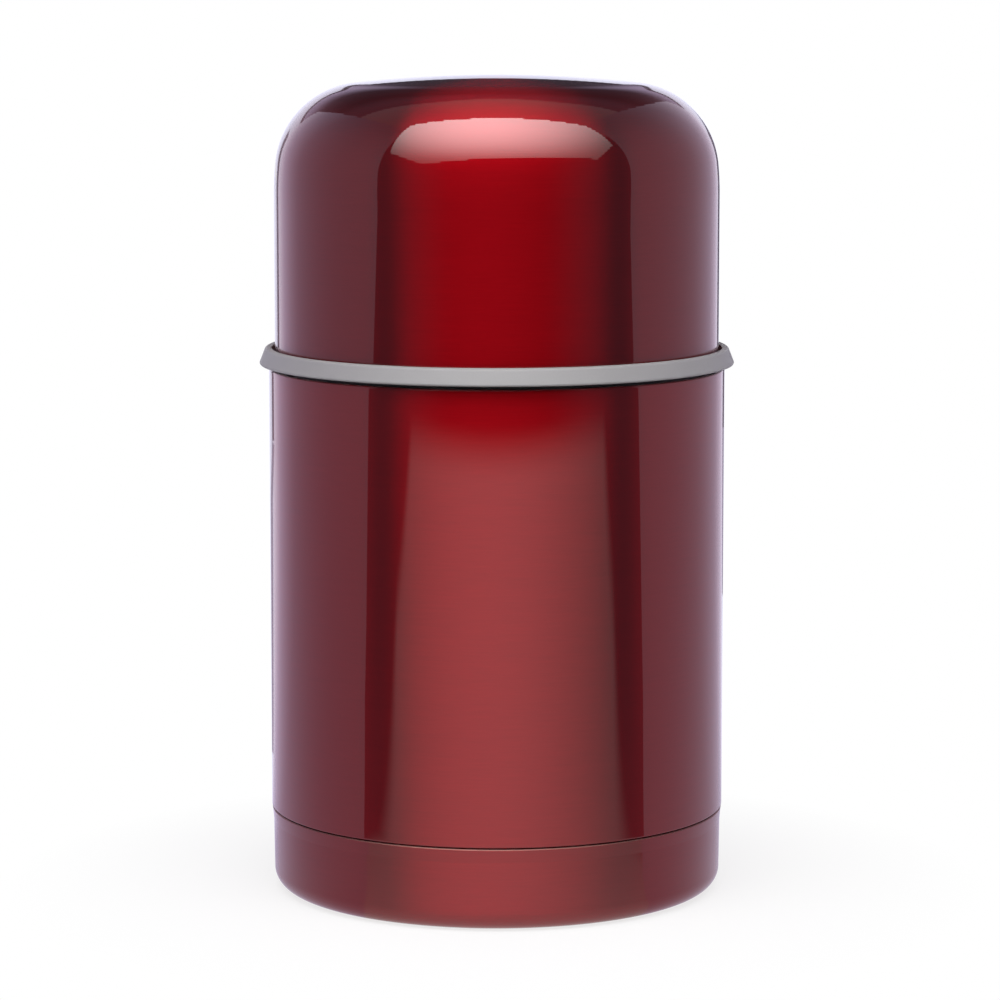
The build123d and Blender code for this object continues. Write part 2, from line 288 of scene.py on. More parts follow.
# ---------------------------------------------------------------- outer shell
# The jar's outer wall: a drawn steel tube with an almost flat shoulder and a rolled neck.
# It is brushed round the axis, and from the skirt up to the foot of the neck it carries a
# clear red lacquer.

BODY_R = 50.0
NECK_R = 43.0
SHELL_T = 0.6
SHOULDER_Z = 115.0
WALL_TOP_Z = 115.45
SKIRT_R = 48.6
SKIRT_Z = 7.0
ROLL_Z = 18.06
ROLL_H = 0.25
COAT_LEAST_R = SKIRT_R - 0.02
COAT_TOP_Z = WALL_TOP_Z + 0.05
FACES_UP = 0.9
BEND_STEP = math.radians(7)
RUN_SHARE = 0.49
HOLD = 0.12
AXIS_R = 0.001
LATHE_STEPS = 256
LACQUER_LIGHT = (0.27, 0.0019, 0.005)
LACQUER_DARK = (0.235, 0.0015, 0.0042)
# The next two tones are painted shade: the lacquer turns to them where the surface faces up.
LACQUER_SHADED_TOP_LIGHT = (0.18, 0.0014, 0.004)
LACQUER_SHADED_TOP_DARK = (0.15, 0.0011, 0.0034)
FINE_LINES = 0.75
WALL_ROUGH = 0.42
CROWN_ROUGH = 0.33
WALL_SLOPE = 0.3
CROWN_SLOPE = 0.68


def rounded(points, radii):
    """A line of (radius, height) points with its corners rounded; radii has one value for each point."""
    line = [points[0]]
    for before, corner, after, radius in zip(points, points[1:], points[2:], radii[1:]):
        if radius <= 0:
            line.append(corner)
            continue
        run_in = math.dist(before, corner)
        run_out = math.dist(corner, after)
        in_x, in_z = (corner[0] - before[0]) / run_in, (corner[1] - before[1]) / run_in
        out_x, out_z = (after[0] - corner[0]) / run_out, (after[1] - corner[1]) / run_out
        turn = math.atan2(in_x * out_z - in_z * out_x, in_x * out_x + in_z * out_z)
        cut = min(radius * math.tan(abs(turn) / 2), RUN_SHARE * run_in, RUN_SHARE * run_out)
        radius = cut / math.tan(abs(turn) / 2)
        side = math.copysign(radius, turn)
        start = (corner[0] - in_x * cut, corner[1] - in_z * cut)
        middle = (start[0] - in_z * side, start[1] + in_x * side)
        dx, dz = start[0] - middle[0], start[1] - middle[1]
        steps = max(3, math.ceil(abs(turn) / BEND_STEP))
        for k in range(steps + 1):
            a = turn * k / steps
            line.append((middle[0] + dx * math.cos(a) - dz * math.sin(a),
                         middle[1] + dx * math.sin(a) + dz * math.cos(a)))
    line.append(points[-1])
    return line


def left_of(start, end):
    """Unit vector to the left of the way from start to end."""
    run = math.dist(start, end)
    return (-(end[1] - start[1]) / run, (end[0] - start[0]) / run)


def sheet_section(points, radii, thickness):
    """Closed outline of a bent sheet: the given face, and the other face on its left."""
    shifted = []
    inner_radii = []
    for i, corner in enumerate(points):
        normals = []
        if i > 0:
            normals.append(left_of(points[i - 1], corner))
        if i < len(points) - 1:
            normals.append(left_of(corner, points[i + 1]))
        nx = sum(n[0] for n in normals)
        nz = sum(n[1] for n in normals)
        scale = thickness * len(normals) / (nx * nx + nz * nz)
        shifted.append((corner[0] + nx * scale, corner[1] + nz * scale))
        turn = 0
        if len(normals) == 2:
            turn = normals[0][0] * normals[1][1] - normals[0][1] * normals[1][0]
        inner_radii.append(max(0, radii[i] - math.copysign(thickness, turn)) if radii[i] > 0 else 0)
    return rounded(points, radii) + rounded(shifted, inner_radii)[::-1]


def with_holding_points(outline):
    """The outline with a point close to both ends of each long run, so that flat runs shade flat."""
    held = []
    for start, end in zip(outline, outline[1:] + outline[:1]):
        held.append(start)
        run = math.dist(start, end)
        if run > 4 * HOLD and max(start[0], end[0]) > AXIS_R:
            for share in (HOLD / run, 1 - HOLD / run):
                held.append(tuple(a + (b - a) * share for a, b in zip(start, end)))
    return held


def lathe(name, outline, materials):
    """Turn a closed outline of (radius, height) points round the jar's axis."""
    verts = []
    rings = []
    for radius, height in with_holding_points(outline):
        first = len(verts)
        count = 1 if radius < AXIS_R else LATHE_STEPS
        for k in range(count):
            verts.append(turned_point(radius, 2 * math.pi * k / LATHE_STEPS, height))
        rings.append(list(range(first, first + count)))
    pairs = list(zip(rings, rings[1:]))
    if len(rings[0]) > 1 or len(rings[-1]) > 1:
        pairs.append((rings[-1], rings[0]))
    faces = []
    for low, high in pairs:
        for k in range(LATHE_STEPS):
            face = [low[k % len(low)], low[(k + 1) % len(low)]]
            face += [high[(k + 1) % len(high)], high[k % len(high)]]
            face = list(dict.fromkeys(face))
            if len(face) > 2:
                faces.append(face)
    return solid(name, verts, faces, materials)


def looks_out(face):
    """Above zero for a face that looks away from the axis, and below zero for one that looks in."""
    return face.normal.x * face.center.x + face.normal.y * face.center.y


def lacquer(name, share):
    """Clear red lacquer over brushed steel; share is how much light its coat lets through."""
    made, shader = new_material(name)
    lines = turned_noise(shader, across=3800.0, along=7.0, detail=4.0)
    drift = turned_noise(shader, across=500.0, along=1.6, detail=2.0)
    fine = calc(shader, "MULTIPLY", lines, FINE_LINES)
    tone = calc(shader, "ADD", fine, calc(shader, "MULTIPLY", drift, 1 - FINE_LINES))
    spread = node(shader, "MapRange")
    link(tone, spread.inputs["Value"])
    spread.inputs["From Min"].default_value = 0.3
    spread.inputs["From Max"].default_value = 0.7
    # Faces that look up get a darker colour, which is painted shade, and a finer, less rough brushing.
    slope = node(shader, "SeparateXYZ")
    link(node(shader, "TexCoord").outputs["Normal"], slope.inputs[0])
    polish_and_shade = node(shader, "MapRange", interpolation_type="SMOOTHSTEP")
    link(slope.outputs["Z"], polish_and_shade.inputs["Value"])
    polish_and_shade.inputs["From Min"].default_value = WALL_SLOPE
    polish_and_shade.inputs["From Max"].default_value = CROWN_SLOPE
    thin_dark = tuple(share * part for part in LACQUER_DARK)
    thin_light = tuple(share * part for part in LACQUER_LIGHT)
    thin = blend_colours(shader, spread.outputs[0], thin_dark, thin_light)
    shaded_top = blend_colours(shader, spread.outputs[0], LACQUER_SHADED_TOP_DARK, LACQUER_SHADED_TOP_LIGHT)
    link(blend_colours(shader, polish_and_shade.outputs[0], thin, shaded_top), shader.inputs["Base Color"])
    finer = calc(shader, "MULTIPLY", polish_and_shade.outputs[0], WALL_ROUGH - CROWN_ROUGH)
    rough = calc(shader, "SUBTRACT", WALL_ROUGH, finer)
    link(calc(shader, "MULTIPLY", rough, between(shader, tone, 0.94, 1.06)), shader.inputs["Roughness"])
    brushed_metal(shader, 1.0)
    shader.inputs["Coat Weight"].default_value = 1.0
    shader.inputs["Coat Roughness"].default_value = 0.02
    shader.inputs["Coat IOR"].default_value = 1.57
    raise_bumps(shader, lines, distance=0.000001, strength=0.1)
    skin = turned_noise(shader, across=1500.0, along=5.0)
    raise_bumps(shader, skin, distance=0.0000012, strength=0.6, layer="Coat Normal")
    return made


wall_lacquer = lacquer("wall_lacquer", 1.0)
neck_steel = bare_steel("neck_steel", light=(0.62, 0.61, 0.59), dark=(0.5, 0.49, 0.47),
                        roughness=0.32, stretch=0.6)

shell_line = [
    (SKIRT_R, SKIRT_Z),
    (SKIRT_R, ROLL_Z),
    (BODY_R, ROLL_Z + ROLL_H),
    (BODY_R, WALL_TOP_Z),
    (NECK_R, SHOULDER_Z),
    (NECK_R, MOUTH_Z),
    (MOUTH_BORE + VESSEL_T, MOUTH_Z),
]
shell_bends = [0, 0, 0.3, 0.45, 0, 2.0, 0]
shell_section = sheet_section(shell_line, shell_bends, SHELL_T)
outer_shell = lathe("outer_shell_wall", shell_section, [wall_lacquer, neck_steel])
for face in outer_shell.data.polygons:
    below_neck = face.center.z < COAT_TOP_Z * MM
    on_wall = math.hypot(*face.center[:2]) > COAT_LEAST_R * MM and looks_out(face) > 0
    on_shoulder = face.normal.z > FACES_UP
    if not (below_neck and (on_wall or on_shoulder)):
        face.material_index = 1
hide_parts("outer_shell")
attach(outer_shell, "jar")

neck_thread = helix_ridge("neck_thread", neck_steel, NECK_R, depth=0.9, foot=2.4, crest=0.9,
                          low_z=SHOULDER_Z + 6.4, turns=2.1)
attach(neck_thread, "jar")

# ---------------------------------------------------------------- base cap
# A shallow drawn steel cup, brushed and lacquered as the wall is, pushed over the skirt on
# a ring of glue. Its rim was cut after lacquering, so its edge is a thin line of bare steel
# with a little of the red run into it.

CAP_H = 18.0
CAP_T = 0.5
RIM_R = 49.9
RIM_BEVEL = 0.22
RIM_TAPER = 0.02
FLARE_Z = 15.0
FLARE_R = 49.6
FOOT_R = 49.4
FOOT_W = 3.4
CORNER = 5.2
DISH_RUN = 2.6
DISH_H = 1.6

glue, shader = new_material("glue")
lumps = cloud_noise(shader, 700.0)
link(blend_colours(shader, lumps, (0.4, 0.38, 0.33), (0.55, 0.53, 0.47)), shader.inputs["Base Color"])
link(between(shader, lumps, 0.45, 0.65), shader.inputs["Roughness"])
raise_bumps(shader, lumps, distance=0.0001, strength=0.4)
dress("base_bond", glue)

raw_edge = bare_steel("raw_edge", light=(0.27, 0.125, 0.11), dark=(0.14, 0.05, 0.045),
                      roughness=0.45, stretch=0.0)
foot_edge = FOOT_R - CORNER - FOOT_W
cap_line = [
    (0, DISH_H),
    (foot_edge - DISH_RUN, DISH_H),
    (foot_edge, 0),
    (FOOT_R, 0),
    (FLARE_R, FLARE_Z),
    (RIM_R, CAP_H),
]
cap_bends = [0, 0, 0, CORNER, 0, 0]
cap_section = sheet_section(cap_line, cap_bends, CAP_T)
rim_at = cap_section.index((RIM_R, CAP_H))
cap_section[rim_at:rim_at + 1] = [(RIM_R - RIM_TAPER, CAP_H - RIM_BEVEL), (RIM_R - RIM_BEVEL, CAP_H)]
base_cap = lathe("base_cap_drawn", cap_section, [wall_lacquer, raw_edge, neck_steel])
for face in base_cap.data.polygons:
    if face.center.z > (CAP_H - RIM_BEVEL) * MM:
        face.material_index = 1
    elif face.normal.z > FACES_UP or looks_out(face) < 0:
        face.material_index = 2
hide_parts("base_cap")
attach(base_cap, "jar")

# ---------------------------------------------------------------- neck ring
# A moulded grey collar pressed over the neck and down on the shoulder. It flares out past
# the wall over a narrow groove, and the cup's foot drops behind its lip. The mould was
# finely eroded.

RING_BORE = 43.1
RING_FOOT_R = 45.2
RING_UNDER_Z = 115.95
RING_WIDE_R = 52.18
RING_WIDE_Z = 116.25
LIP_BORE = 49.36
LIP_R = 50.75
LIP_Z = 119.9
RING_FLOOR_Z = 116.6
COLLAR_R = 44.1
COLLAR_Z = 118.6
GRAIN_SHARE = 0.6
ROUGH_SWING = 0.06


def moulded(name, light, dark, roughness, grain_scale, grain_depth):
    """Moulded plastic with the fine grain of an eroded mould."""
    made, shader = new_material(name)
    grain = cloud_noise(shader, grain_scale, detail=4.0)
    cloud = cloud_noise(shader, 90.0, detail=2.0)
    fine = calc(shader, "MULTIPLY", grain, GRAIN_SHARE)
    tone = calc(shader, "ADD", fine, calc(shader, "MULTIPLY", cloud, 1 - GRAIN_SHARE))
    link(blend_colours(shader, tone, dark, light), shader.inputs["Base Color"])
    rough = between(shader, tone, roughness - ROUGH_SWING, roughness + ROUGH_SWING)
    link(rough, shader.inputs["Roughness"])
    raise_bumps(shader, grain, grain_depth, strength=0.5)
    return made


grey_plastic = moulded("grey_plastic", light=(0.278, 0.271, 0.273), dark=(0.218, 0.212, 0.214),
                       roughness=0.5, grain_scale=5200.0, grain_depth=0.00003)
ring_outline = [
    (RING_BORE, SHOULDER_Z),
    (RING_FOOT_R, SHOULDER_Z),
    (RING_FOOT_R, RING_UNDER_Z),
    (RING_WIDE_R, RING_WIDE_Z),
    (LIP_R, LIP_Z),
    (LIP_BORE, LIP_Z),
    (LIP_BORE, RING_FLOOR_Z),
    (COLLAR_R, RING_FLOOR_Z),
    (COLLAR_R, COLLAR_Z),
    (RING_BORE, COLLAR_Z),
]
ring_bends = [0, 0, 0.2, 0.35, 0.8, 0.3, 0.2, 0.2, 0.2, 0]
neck_ring = lathe("neck_ring_moulded", rounded(ring_outline, ring_bends), [grey_plastic])
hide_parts("neck_ring")
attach(neck_ring, "jar")

# ---------------------------------------------------------------- stopper
# The hollow screw plug and its fluted head, moulded in charcoal plastic, with foam inside
# and a silicone ring that presses on the vessel's ledge.

PLUG_R = 36.8

dark_plastic = moulded("dark_plastic", light=(0.066, 0.066, 0.071), dark=(0.042, 0.042, 0.046),
                       roughness=0.42, grain_scale=4200.0, grain_depth=0.00002)
dress("stopper_body", dark_plastic)
dress("stopper_cover", dark_plastic)

stopper_thread = helix_ridge("stopper_thread", dark_plastic, PLUG_R, depth=0.75, foot=2.2,
                             crest=0.8, low_z=LEDGE_Z + 8.6, turns=1.6)
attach(stopper_thread, "stopper")

foam, shader = new_material("foam")
bubbles = node(shader, "TexVoronoi")
bubbles.inputs["Scale"].default_value = 420.0
link(node(shader, "TexCoord").outputs["Object"], bubbles.inputs["Vector"])
beads = bubbles.outputs["Distance"]
link(blend_colours(shader, beads, (0.86, 0.85, 0.82), (0.72, 0.71, 0.68)), shader.inputs["Base Color"])
link(between(shader, beads, 0.8, 0.95), shader.inputs["Roughness"])
raise_bumps(shader, beads, distance=0.0004, strength=0.6)
dress("stopper_foam", foam)

silicone, shader = new_material("silicone")
haze = cloud_noise(shader, 500.0)
link(blend_colours(shader, haze, (0.62, 0.62, 0.6), (0.74, 0.74, 0.72)), shader.inputs["Base Color"])
link(between(shader, haze, 0.38, 0.52), shader.inputs["Roughness"])
shader.inputs["Subsurface Weight"].default_value = 0.2
shader.inputs["Subsurface Scale"].default_value = 0.002
raise_bumps(shader, haze, distance=0.00003, strength=0.4)
dress("stopper_gasket", silicone)

# ---------------------------------------------------------------- vent valve
# The push button with its sealing ring, the stem with its spring, and the silicone disc
# that the stem holds against the plug's floor from below, backed by a plate and a screw.

SPRING_LOW_Z = 107.8
SPRING_TOP_Z = 121.8
SPRING_R = 3.6
SPRING_TURNS = 5.5
SPRING_STEPS = 48
CLOSED_TURNS = 0.6
WIRE_R = 0.3
WIRE_STEPS = 12

button_plastic = moulded("button_plastic", light=(0.40, 0.39, 0.41), dark=(0.31, 0.30, 0.32),
                         roughness=0.45, grain_scale=5200.0, grain_depth=0.00002)
dress("vent_button", button_plastic)
dress("valve_stem", dark_plastic)
dress("valve_plate", dark_plastic)
dress("valve_seal", silicone)
dress("button_seal", silicone)
dress("valve_screw", plain_steel)

wire_steel = bare_steel("wire_steel", light=(0.7, 0.69, 0.67), dark=(0.6, 0.59, 0.57),
                        roughness=0.22, stretch=0.0)


def spring_coil():
    """Round wire wound into a compression spring with closed, flattened end turns."""
    total = int(SPRING_TURNS * SPRING_STEPS)
    climb = SPRING_TOP_Z - SPRING_LOW_Z - 2 * WIRE_R
    verts = []
    for k in range(total + 1):
        turn = k / SPRING_STEPS
        share = min(1.0, max(0.0, (turn - CLOSED_TURNS) / (SPRING_TURNS - 2 * CLOSED_TURNS)))
        z = SPRING_LOW_Z + WIRE_R + climb * share
        for j in range(WIRE_STEPS):
            a = 2 * math.pi * j / WIRE_STEPS
            r = SPRING_R + WIRE_R * math.cos(a)
            verts.append(turned_point(r, 2 * math.pi * turn, z + WIRE_R * math.sin(a)))
    return solid("valve_spring_coil", verts, tube_faces(WIRE_STEPS, total), [wire_steel])


valve_spring = spring_coil()
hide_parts("valve_spring")
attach(valve_spring, "vent_valve")
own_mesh(valve_spring)

# ---------------------------------------------------------------- cup
# The cup that covers the stopper: a drawn steel dome, brushed and lacquered as the body,
# glued at its edge over a moulded bowl that carries the thread.

CUP_R = 48.68
CUP_EDGE_Z = 118.2
CUP_WALL_TOP = 153.4
CUP_T = 0.5
CUP_COAT = 0.84
SOFT_R = 68.0
SOFT_TURN = 5.5
DOME_R = 19.5
CROWN_R = 297.0
LINER_FOOT_Z = 116.9
LINER_OUT = 2.0
LINER_T = 1.6
LAND_R = 47.98
LAND_Z = 124.2


def dome_line(inset, low_z):
    """Half outline of the dome from its lower edge up to the axis, moved in by inset."""
    soft_x = CUP_R - SOFT_R
    quick_x = soft_x + (SOFT_R - DOME_R) * math.cos(math.radians(SOFT_TURN))
    quick_z = CUP_WALL_TOP + (SOFT_R - DOME_R) * math.sin(math.radians(SOFT_TURN))
    drop = math.sqrt((CROWN_R - DOME_R) ** 2 - quick_x ** 2)
    crown_turn = math.degrees(math.atan2(drop, quick_x))
    line = [(CUP_R - inset, low_z)]
    arcs = [
        (soft_x, CUP_WALL_TOP, SOFT_R, 0, SOFT_TURN, 8),
        (quick_x, quick_z, DOME_R, SOFT_TURN, crown_turn, 48),
        (0, quick_z - drop, CROWN_R, crown_turn, 90, 20),
    ]
    for x, z, radius, start, end, steps in arcs:
        for k in range(0 if start == 0 else 1, steps + 1):
            a = math.radians(start + (end - start) * k / steps)
            line.append((x + (radius - inset) * math.cos(a), z + (radius - inset) * math.sin(a)))
    line[-1] = (0, line[-1][1])
    return line


cup_lacquer = lacquer("cup_lacquer", CUP_COAT)
cup_section = dome_line(0, CUP_EDGE_Z) + dome_line(CUP_T, CUP_EDGE_Z)[::-1]
cup_shell = lathe("cup_dome", cup_section, [cup_lacquer])
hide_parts("cup_shell")
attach(cup_shell, "cup")

liner_section = dome_line(LINER_OUT, LAND_Z)
liner_section += dome_line(LINER_OUT + LINER_T, LINER_FOOT_Z)[::-1]
liner_section += [(CUP_R, LINER_FOOT_Z), (CUP_R, CUP_EDGE_Z), (LAND_R, CUP_EDGE_Z), (LAND_R, LAND_Z)]
cup_liner = lathe("cup_bowl", liner_section, [grey_plastic])
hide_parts("cup_liner")
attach(cup_liner, "cup")

liner_bore = CUP_R - LINER_OUT - LINER_T
cup_thread = helix_ridge("cup_thread", grey_plastic, liner_bore, depth=-0.9, foot=2.4, crest=0.9,
                         low_z=SHOULDER_Z + 4.6, turns=1.9)
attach(cup_thread, "cup")
dress("cup_bond", glue)

# ---------------------------------------------------------------- studio
# A white table under a large softbox, with a pale card on each side of the jar. Cloths and
# boards on the table, two posts and a tent of cloth show in the jar's lacquer alone, and
# the camera sees only the table and a white room.

LAMP_Z = 0.62
JAR_TOP_Z = 0.17
LAMP_H = LAMP_Z - JAR_TOP_Z
LAMP_PEAK = 7.5
LAMP_EDGE = 0.7
LAMP_WIDTH = 0.75
LAMP_WIDENS = 0.28
LAMP_REACH = 1.22
PEAK_LEFT = 0.1
PEAK_FORWARD = 0.3
FILL_SHARE = 0.74
FILL_LIFT = 0.01


def card(name, corners, glow):
    """A flat glowing card that the camera doesn't see."""
    mesh = bpy.data.meshes.new(name)
    mesh.from_pydata(corners, [], [tuple(range(len(corners)))])
    mesh.materials.append(glow)
    made = add_object(name, mesh)
    made.visible_camera = False
    return made


def glow_material(name):
    """An emission material, and its emission node."""
    made = bpy.data.materials.new(name)
    made.use_nodes = True
    tree = made.node_tree
    tree.nodes.remove(tree.nodes["Principled BSDF"])
    lamp = tree.nodes.new("ShaderNodeEmission")
    link(lamp.outputs[0], tree.nodes["Material Output"].inputs[0])
    return made, lamp


def position(shader):
    """The place of a point in the studio, as three separate values."""
    parts = node(shader, "SeparateXYZ")
    link(node(shader, "NewGeometry").outputs["Position"], parts.inputs[0])
    return parts


# The softbox's measures are shares of its height above the jar. Its light is strongest near
# its rear edge, and the strong part grows wider towards the front.
lamp_outline = [(-1.96, 2.43), (2.09, 1.49), (1.44, 0.55), (0.66, 0.21), (-0.62, 0.21), (-1.70, 0.99)]


def lamp_light(name, share):
    """Light of the softbox, or the given share of it."""
    made, light = glow_material(name)
    spot = position(light)
    widening = calc(light, "MULTIPLY", spot.outputs["Y"], -LAMP_WIDENS)
    width = calc(light, "ADD", widening, LAMP_WIDTH * LAMP_H)
    across = calc(light, "DIVIDE", calc(light, "ADD", spot.outputs["X"], PEAK_LEFT * LAMP_H), width)
    behind = calc(light, "ADD", spot.outputs["Y"], PEAK_FORWARD * LAMP_H)
    behind = calc(light, "DIVIDE", behind, LAMP_REACH * LAMP_H)
    squares = [calc(light, "MULTIPLY", side, side) for side in (across, behind)]
    away = calc(light, "ADD", squares[0], squares[1])
    spread = calc(light, "EXPONENT", calc(light, "MULTIPLY", away, -1.0))
    spread = calc(light, "MULTIPLY", spread, LAMP_PEAK * share)
    link(calc(light, "ADD", spread, LAMP_EDGE * share), light.inputs["Strength"])
    return made


def lamp_corners(height):
    """Corners of the softbox at a height."""
    return [(u * LAMP_H, -v * LAMP_H, height) for u, v in lamp_outline]


softbox = card("softbox", lamp_corners(LAMP_Z), lamp_light("softbox_glow", 1.0))
softbox.visible_diffuse = False
softbox.visible_shadow = False
fill = card("softbox_fill", lamp_corners(LAMP_Z + FILL_LIFT), lamp_light("fill_glow", FILL_SHARE))
fill.visible_glossy = False
fill.visible_shadow = False

CARD_X = 0.42
CARD_DIM = 0.4
CARD_FULL_Z = 0.25
CARD_DIM_Z = 0.75


def ramp(shader, value, start, end):
    """0 at start, 1 at end, smooth between."""
    made = node(shader, "MapRange", interpolation_type="SMOOTHSTEP")
    link(value, made.inputs["Value"])
    made.inputs["From Min"].default_value = start
    made.inputs["From Max"].default_value = end
    return made.outputs[0]


def turned_from_front(shader, place):
    """Angle of a place round the jar, in radians: 0 in front of it, positive to the right."""
    return calc(shader, "ARCTAN2", place.outputs["X"], calc(shader, "MULTIPLY", place.outputs["Y"], -1.0))


def side_glow(name, tints):
    """Light of a side card and of the board below it. It changes with the angle round the jar,
    which tints give in half turns from the front, and it dims towards the card's top."""
    made, light = glow_material(name)
    place = position(light)
    angle = calc(light, "ABSOLUTE", turned_from_front(light, place))
    tones = node(light, "ValToRGB")
    link(calc(light, "DIVIDE", angle, math.pi), tones.inputs[0])
    stops = tones.color_ramp.elements
    stops[0].position, stops[0].color = tints[0][0], (*tints[0][1], 1.0)
    stops[1].position, stops[1].color = tints[-1][0], (*tints[-1][1], 1.0)
    for at, tint in tints[1:-1]:
        stops.new(at).color = (*tint, 1.0)
    link(tones.outputs[0], light.inputs["Color"])
    dimmed = calc(light, "MULTIPLY", ramp(light, place.outputs["Z"], CARD_FULL_Z, CARD_DIM_Z), -CARD_DIM)
    link(calc(light, "ADD", dimmed, 1.0), light.inputs["Strength"])
    return made


def side_card(name, x, outline, glow):
    """A card that stands beside the jar at x; outline is its (depth, height) points."""
    return card(name, [(x, y, z) for y, z in outline], glow)


left_tints = [(0.33, (0.60, 0.543, 0.66)), (0.48, (0.545, 0.486, 0.62)), (0.66, (0.53, 0.47, 0.64)),
              (0.767, (0.72, 0.66, 0.90)), (0.83, (1.08, 1.01, 1.22))]
left_outline = [(-0.195, 0.0), (-0.21, 0.066), (-0.242, 0.124), (-0.235, 0.3), (-0.19, 0.74),
                (-0.137, 0.78), (-0.062, 0.72), (0.156, 0.66), (0.436, 0.588), (0.65, 0.53),
                (0.65, 0.34), (0.73, 0.29), (0.73, 0.0)]
left_glow = side_glow("left_glow", left_tints)
side_card("left_card", -CARD_X, left_outline, left_glow)
right_tints = [(0.39, (0.58, 0.527, 0.63)), (0.648, (0.53, 0.478, 0.60)), (0.78, (0.59, 0.543, 0.71)),
               (0.85, (0.84, 0.78, 0.99)), (0.88, (1.12, 1.05, 1.27))]
right_outline = [(-0.123, 0.0), (-0.144, 0.069), (-0.168, 0.12), (-0.155, 0.3), (-0.109, 0.83),
                 (0.2, 0.81), (1.05, 0.66), (1.05, 0.0)]
right_glow = side_glow("right_glow", right_tints)
side_card("right_card", CARD_X, right_outline, right_glow)

# The table is white where the camera or the lacquer sees it. Close round the jar a share of
# its own matte tone is left, which shows the jar's shadow.
TABLE_HALF = 40.0
SHADE_FROM = 0.045
SHADE_TO = 0.11
LEAST_WHITE = 0.75

floor_paint, matte = new_material("floor_paint")
paper = cloud_noise(matte, 300.0)
link(blend_colours(matte, paper, (0.80, 0.80, 0.80), (0.82, 0.82, 0.82)), matte.inputs["Base Color"])
matte.inputs["Roughness"].default_value = 0.9
matte.inputs["Specular IOR Level"].default_value = 0.1
white = node(matte, "Emission")
white.inputs["Strength"].default_value = 1.0


def sees_background(shader):
    """1 for rays that show the white background: the camera's, and those from metal and through glass."""
    rays = node(shader, "LightPath")
    direct = calc(shader, "MAXIMUM", rays.outputs["Is Camera Ray"], rays.outputs["Is Glossy Ray"])
    return calc(shader, "MAXIMUM", direct, rays.outputs["Is Transmission Ray"])


reach = node(matte, "VectorMath", operation="LENGTH")
link(node(matte, "NewGeometry").outputs["Position"], reach.inputs[0])
far = node(matte, "MapRange")
link(reach.outputs["Value"], far.inputs["Value"])
far.inputs["From Min"].default_value = SHADE_FROM
far.inputs["From Max"].default_value = SHADE_TO
far.inputs["To Min"].default_value = LEAST_WHITE
blank = node(matte, "MixShader")
link(calc(matte, "MULTIPLY", sees_background(matte), far.outputs[0]), blank.inputs[0])
link(matte.outputs[0], blank.inputs[1])
link(white.outputs[0], blank.inputs[2])
link(blank.outputs[0], floor_paint.node_tree.nodes["Material Output"].inputs[0])

floor_mesh = bpy.data.meshes.new("floor")
floor_corners = [(-TABLE_HALF, -TABLE_HALF, 0), (TABLE_HALF, -TABLE_HALF, 0)]
floor_corners += [(TABLE_HALF, TABLE_HALF, 0), (-TABLE_HALF, TABLE_HALF, 0)]
floor_mesh.from_pydata(floor_corners, [], [(0, 1, 2, 3)])
floor_mesh.materials.append(floor_paint)
floor = add_object("floor", floor_mesh)

# The dark cloth leaves a tongue of the white table open in front of the jar. It runs between
# two bent borders, and its edges are soft, more so further out.
TONGUE_WHOLE = 0.70
TONGUE_GONE = 0.92
TONGUE_ROUND = 0.84
TONGUE_MIDDLE_Y = -0.08
TONGUE_SPREAD = 1.15
FOOT_WHOLE = 0.07
FOOT_GONE = 0.095
NEAR_SOFT = (-0.008, 0.015)
FAR_SOFT = (-0.015, 0.035)


def beside(shader, place, start, end):
    """Distance of a place from the line start-end, positive to the left of it."""
    run = math.dist(start, end)
    along_x, along_y = (end[0] - start[0]) / run, (end[1] - start[1]) / run
    part_x = calc(shader, "MULTIPLY", calc(shader, "SUBTRACT", place.outputs["X"], start[0]), -along_y)
    part_y = calc(shader, "MULTIPLY", calc(shader, "SUBTRACT", place.outputs["Y"], start[1]), along_x)
    return calc(shader, "ADD", part_x, part_y)


def cut_open(light, opening):
    """Make a glowing card see-through where opening is 1."""
    hole = node(light, "MixShader")
    link(opening, hole.inputs[0])
    link(light.outputs[0], hole.inputs[1])
    link(node(light, "BsdfTransparent").outputs[0], hole.inputs[2])
    link(hole.outputs[0], light.id_data.nodes["Material Output"].inputs[0])


def room_tone(light, sideways):
    """Colour of the dark cloth in front of the jar: near black in the middle, greyer to both sides."""
    return blend_colours(light, ramp(light, calc(light, "ABSOLUTE", sideways), 0.35, 0.85),
                         (0.015, 0.008, 0.015), (0.12, 0.12, 0.16))


cloth, light = glow_material("dark_cloth")
place = position(light)
ahead = calc(light, "SUBTRACT", TONGUE_MIDDLE_Y, place.outputs["Y"])
aside = calc(light, "MULTIPLY", place.outputs["X"], TONGUE_ROUND)
squares = [calc(light, "MULTIPLY", side, side) for side in (aside, ahead)]
reach_out = calc(light, "SQRT", calc(light, "ADD", squares[0], squares[1]))
turned = turned_from_front(light, place)
share = calc(light, "DIVIDE", turned, TONGUE_SPREAD)
tongue = calc(light, "EXPONENT", calc(light, "MULTIPLY", calc(light, "MULTIPLY", share, share), -1.0))
near_foot = ramp(light, reach_out, FOOT_GONE, FOOT_WHOLE)
left_near, left_bend, left_far = (-0.116, -0.099), (-0.372, -0.318), (-0.631, -0.675)
right_near, right_bend, right_far = (0.125, -0.082), (0.414, -0.255), (0.744, -0.532)
borders = [
    (left_near, left_bend, NEAR_SOFT),
    (left_bend, left_far, FAR_SOFT),
    (right_bend, right_near, NEAR_SOFT),
    (right_far, right_bend, FAR_SOFT),
]
edges = [ramp(light, beside(light, place, start, end), *soft) for start, end, soft in borders]
edges.append(ramp(light, reach_out, TONGUE_GONE, TONGUE_WHOLE))
for edge in edges:
    tongue = calc(light, "MULTIPLY", tongue, calc(light, "MAXIMUM", edge, near_foot))
link(room_tone(light, calc(light, "SINE", turned)), light.inputs["Color"])
cut_open(light, tongue)

